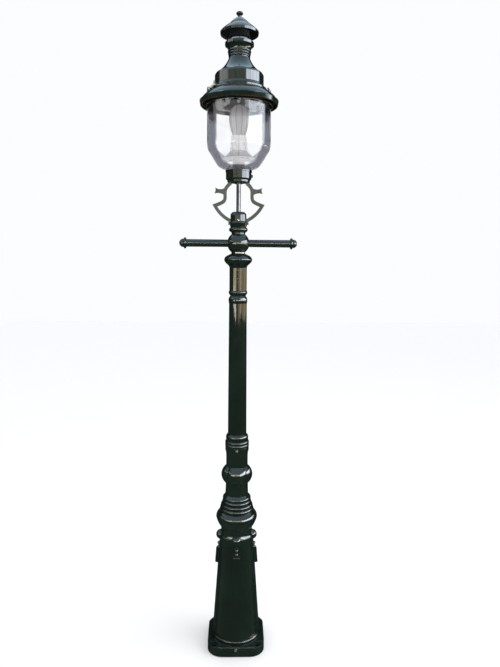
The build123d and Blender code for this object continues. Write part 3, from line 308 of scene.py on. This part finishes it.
def ring_paint():
    """Gloss paint with a strong painted sky reflection on upward faces, a painted brown ground
    reflection on faces turned down, and a white lining inside with painted dark reflection blots.
    """
    # Strong pale film on the canopy's upward faces: mostly painted sky reflection
    material, tree, shader = gloss_paint("ring_paint", green, green_faded, dust_and_sheen_amount=0.4)
    # Faces turned down: patchy red-brown painted ground reflection
    below = ramp(tree, facing_up(tree), -0.35, -0.85)
    ground_reflection_patches = ramp(tree, noise(tree, 26.0, 5.0), 0.30, 0.62)
    lay_over(tree, shader, times(tree, times(tree, below, ground_reflection_patches), ground_reflection_amount), ground_reflection_brown)
    # Dark blots on the white lining: painted reflection of branches
    tree_reflection_blots = ramp(tree, noise(tree, 34.0, 3.0, (1, 0.22, 1)), 0.48, 0.56)
    lay_over(tree, shader, lining(tree, lining_reach), blend(tree, tree_reflection_blots, enamel, painted_black))
    return material


def lay_painted_shade(tree, shader, painted_shade):
    """Lays matt black painted shade over gloss paint where the mask is 1."""
    lay_over(tree, shader, painted_shade, painted_black)
    gloss = shader["Roughness"].links[0].from_socket
    put(tree, shader["Roughness"], ramp(tree, painted_shade, 0.0, 1.0, gloss, painted_shade_rough))
    put(tree, shader["Coat Weight"], ramp(tree, painted_shade, 0.0, 1.0, coat_weight, 0.0))
    put(tree, shader["Specular IOR Level"], ramp(tree, painted_shade, 0.0, 1.0, paint_specular, painted_shade_specular))


def chimney_paint():
    """Gloss paint with matt black painted shade on the mouth of the chimney, under the cowl."""
    material, tree, shader = gloss_paint("chimney_paint", green, green_faded)
    lay_painted_shade(tree, shader, ramp(tree, height(tree), mouth_low, mouth_high))
    return material


def cowl_paint():
    """Gloss paint with matt black painted shade inside the cowl."""
    material, tree, shader = gloss_paint("cowl_paint", green, green_faded)
    lay_painted_shade(tree, shader, lining(tree, cowl_reach))
    return material


def bare_metal(name, colour, tarnish, rough, grain=(1, 1, 1)):
    """Plated or bare metal with a fine grain and dull patches."""
    material, tree, shader = new_material(name)
    patch = ramp(tree, noise(tree, 60.0, 5.0), 0.40, 0.70)
    put(tree, shader["Base Color"], blend(tree, patch, colour, tarnish))
    brushed = noise(tree, 140.0, 4.0, grain)
    put(tree, shader["Roughness"], ramp(tree, brushed, 0.30, 0.75, rough * 0.7, rough * 1.4))
    put(tree, shader["Normal"], bump(tree, noise(tree, 700.0, 2.0, grain), 0.0001, 0.3))
    shader["Metallic"].default_value = 1.0
    return material


def soft_rubber(name):
    """Dark red-brown rubber with a fine matt grain."""
    material, tree, shader = new_material(name)
    patch = ramp(tree, noise(tree, 90.0, 4.0), 0.35, 0.70)
    put(tree, shader["Base Color"], blend(tree, patch, rubber_red, rubber_dark))
    put(tree, shader["Roughness"], ramp(tree, noise(tree, 200.0, 3.0), 0.3, 0.7, 0.55, 0.75))
    put(tree, shader["Normal"], bump(tree, noise(tree, 900.0, 2.0), 0.0001, 0.4))
    return material


def clear_glass(name, tint, haze, wave):
    """Clear moulded glass with a slight wave and a little dirt."""
    material, tree, shader = new_material(name)
    cloud = ramp(tree, noise(tree, 12.0, 4.0), 0.45, 0.75)
    put(tree, shader["Base Color"], blend(tree, cloud, untinted, tint))
    dirt = noise(tree, 45.0, 5.0, (1, 1, 0.3))
    put(tree, shader["Roughness"], ramp(tree, dirt, 0.50, 0.85, 0.0, haze))
    put(tree, shader["Normal"], bump(tree, noise(tree, 14.0, 2.0, (1, 1, 0.5)), wave))
    shader["IOR"].default_value = glass_ior
    shader["Transmission Weight"].default_value = 1.0
    return material, tree, shader


def bowl_glass():
    """Glass of the globe: clear face on, with a painted grey band inside each edge, where it is seen
    edge on, that turns to painted shade at the top.
    """
    material, tree, shader = clear_glass("clear_bowl", bowl_tint, haze=0.05, wave=0.0006)
    # Painted grey edge band, darkened at the top into painted shade under the canopy
    band = blend(tree, ramp(tree, height(tree), band_low, band_high), edge_grey, edge_dark)
    lay_over(tree, shader, within(tree, slant(tree), 0.33, 0.84, soft=0.04), band)
    return material


def core_glass():
    """Hazy glass of the lamp's inside."""
    return clear_glass("lamp_core", core_tint, haze=0.35, wave=0.0002)[0]


def pearl_glass(name):
    """Milky lamp glass with thin dark upright lines and a painted dark edge where it is seen edge on.
    """
    material, tree, shader = new_material(name)
    cloud = blend(tree, ramp(tree, noise(tree, 30.0, 4.0), 0.35, 0.70), pearl, pearl_dull)
    lined = blend(tree, ribs(tree, count=10, width=0.13), cloud, line_dark)
    # Painted dark edge where the lamp glass is seen edge on
    put(tree, shader["Base Color"], blend(tree, ramp(tree, slant(tree), 0.50, 0.80), lined, line_dark))
    put(tree, shader["Roughness"], ramp(tree, noise(tree, 45.0, 4.0), 0.35, 0.80, 0.05, 0.22))
    put(tree, shader["Normal"], bump(tree, noise(tree, 20.0, 2.0), 0.0002))
    shader["Transmission Weight"].default_value = 0.62
    return material


def satin_white(name):
    """Folded sheet with a pale satin finish and painted shade lines at the folds."""
    material, tree, shader = new_material(name)
    cloud = blend(tree, ramp(tree, noise(tree, 40.0, 4.0), 0.35, 0.70), pearl, pearl_dull)
    # Dark lines: painted shade at the folds
    put(tree, shader["Base Color"], blend(tree, ribs(tree, count=8, width=0.08), cloud, line_dark))
    put(tree, shader["Roughness"], ramp(tree, noise(tree, 90.0, 4.0), 0.30, 0.75, 0.22, 0.38))
    shader["Metallic"].default_value = 0.1
    return material


def glazed_ceramic(name):
    """White glazed porcelain with faint crazing."""
    material, tree, shader = new_material(name)
    edges = {"feature": "DISTANCE_TO_EDGE"}
    cells = add(tree, "ShaderNodeTexVoronoi", edges, Vector=place(tree), Scale=160.0)
    craze = ramp(tree, cells.outputs["Distance"], 0.0, 0.03, 0.25, 0.0)
    put(tree, shader["Base Color"], blend(tree, craze, glaze, craze_line))
    put(tree, shader["Roughness"], ramp(tree, noise(tree, 60.0, 3.0), 0.3, 0.7, 0.08, 0.16))
    return material


def pale_ground():
    """Matt pale floor with a faint cloud."""
    material, tree, shader = new_material("pale_floor")
    put(tree, shader["Base Color"], blend(tree, noise(tree, 2.0, 4.0), floor_pale, floor_dull))
    shader["Roughness"].default_value = 0.9
    return material


# Finishes by the record's slots, and three more for the canopy, the chimney and the cowl
finishes = {
    "green_paint": plain_paint("green_paint", green, green_faded),
    # Arm paint is lighter than the post's green, as a painted sky reflection
    "arm_paint": plain_paint("arm_paint", arm_green_with_sheen, arm_faded_with_sheen),
    "ring_paint": ring_paint(),
    "chimney_paint": chimney_paint(),
    "cowl_paint": cowl_paint(),
    "steel_fasteners": bare_metal("steel_fasteners", zinc, zinc_dull, rough=0.28),
    "conduit_steel": bare_metal(
        "conduit_steel", conduit_grey, conduit_dull, rough=0.16, grain=(1, 1, 0.05)
    ),
    "lamp_metal": bare_metal("lamp_metal", cap_metal, cap_dull, rough=0.25),
    "soft_seal": soft_rubber("soft_seal"),
    "clear_bowl": bowl_glass(),
    "white_ceramic": glazed_ceramic("white_ceramic"),
    "bright_metal": satin_white("bright_metal"),
    "lamp_glass": pearl_glass("lamp_glass"),
    "lamp_core": core_glass(),
}

# Nodes that don't take the finish of their slot
own_finish = {
    "canopy_ring": "ring_paint",
    "canopy_dome": "ring_paint",
    "chimney": "chimney_paint",
    "cowl": "cowl_paint",
    "gallery_screws": "green_paint",
    "head_lock_bolt": "green_paint",
    "conduit_nuts": "green_paint",
    "frog_screws": "green_paint",
}

# Nodes left out of reflections, so that the bell mirrors the sky
unmirrored = ("chimney", "cowl", "cap", "finial")


def dress():
    """Gives every node its finish and leaves some nodes out of reflections."""
    for part in frame["record"]["subparts"]:
        slots = nodes[part["node"]].data.materials
        slots.clear()
        slots.append(finishes[own_finish.get(part["node"], part["material_slot"])])
    for name in unmirrored:
        nodes[name].visible_glossy = False


def floor():
    """Large pale floor under the plinth."""
    mesh = bpy.data.meshes.new("floor")
    corners = [(x * floor_half, y * floor_half, 0) for x, y in ((-1, -1), (1, -1), (1, 1), (-1, 1))]
    mesh.from_pydata(corners, [], [(0, 1, 2, 3)])
    mesh.materials.append(pale_ground())
    ground = bpy.data.objects.new("floor", mesh)
    ground.visible_glossy = False
    bpy.context.scene.collection.objects.link(ground)


def softbox(name, where, aim, size, glow, colour, mirrored):
    """Soft rectangular light at a place, aimed at a point, for shading or only for the gloss."""
    wide, tall = size
    data = bpy.data.lights.new(name, "AREA")
    data.shape = "RECTANGLE"
    data.size = wide
    data.size_y = tall
    data.energy = glow * math.pi * wide * tall
    data.color = colour
    light = bpy.data.objects.new(name, data)
    light.location = where
    light.rotation_euler = (Vector(aim) - Vector(where)).to_track_quat("-Z", "Y").to_euler()
    light.visible_camera = False
    light.visible_glossy = mirrored
    light.visible_diffuse = not mirrored
    light.visible_transmission = False
    bpy.context.scene.collection.objects.link(light)


def surroundings(tree):
    """What gloss reflects: dark ground and back, bright things in front, blue sky above."""
    way = add(tree, "ShaderNodeTexCoord").outputs["Generated"]
    part = add(tree, "ShaderNodeSeparateXYZ", Vector=way)
    side, back, up = (part.outputs[axis] for axis in "XYZ")
    front = ramp(tree, back, 0.35, 0.10)
    mottle = add(tree, "ShaderNodeTexNoise", Vector=way, Scale=14.0, Detail=4.0).outputs["Fac"]
    clear = times(tree, front, ramp(tree, mottle, 0.30, 0.60, 0.45, 1.0))
    seen = blend(tree, front, behind_dark, ground_dark)
    for colour, across, above in reflected:
        spot = times(tree, within(tree, side, *across), within(tree, up, *above))
        seen = blend(tree, times(tree, spot, clear), seen, colour)
    lean = combine(tree, "ShaderNodeMath", "SUBTRACT", up, times(tree, back, 0.2))
    return blend(tree, ramp(tree, lean, 0.47, 0.56), seen, sky_blue)


def world():
    """White surroundings, and other ones in reflections."""
    bpy.context.scene.view_settings.view_transform = "Standard"
    around = bpy.data.worlds.new("studio")
    around.use_nodes = True
    bpy.context.scene.world = around
    tree = around.node_tree
    path = add(tree, "ShaderNodeLightPath").outputs
    mirrored = add(tree, "ShaderNodeMath", {"operation": "SUBTRACT", "use_clamp": True})
    put(tree, mirrored.inputs[0], path["Is Glossy Ray"])
    put(tree, mirrored.inputs[1], path["Is Transmission Ray"])
    colour = blend(tree, mirrored.outputs["Value"], white_around, surroundings(tree))
    put(tree, tree.nodes["Background"].inputs["Color"], colour)


def lights():
    """One soft light for the shading, and the panels of the wall for the gloss."""
    softbox("right_light", light_place, light_aim, light_size, light_glow, white_light, mirrored=False)
    for side, start, end, low, high, glow, colour in walls:
        along = (start + end) / 2
        middle = (low + high) / 2
        where = (along, -wall_away, middle) if side == "front" else (wall_away, along, middle)
        aim = (along, 0, middle) if side == "front" else (0, along, middle)
        size = (end - start, high - low)
        softbox(f"{side}_wall", where, aim, size, glow, colour, mirrored=True)


def camera():
    """Camera where the photograph was taken from."""
    data = bpy.data.cameras.new("photo_view")
    data.sensor_width = camera_sensor
    data.lens = camera_lens
    view = bpy.data.objects.new("photo_view", data)
    turn = (
        Matrix.Rotation(math.radians(camera_yaw), 4, "Z")
        @ Matrix.Rotation(math.radians(90 + camera_pitch), 4, "X")
        @ Matrix.Rotation(math.radians(camera_roll), 4, "Z")
    )
    view.matrix_world = Matrix.Translation((0, -camera_distance, camera_height)) @ turn
    bpy.context.scene.collection.objects.link(view)
    bpy.context.scene.camera = view


dress()
floor()
world()
lights()
camera()
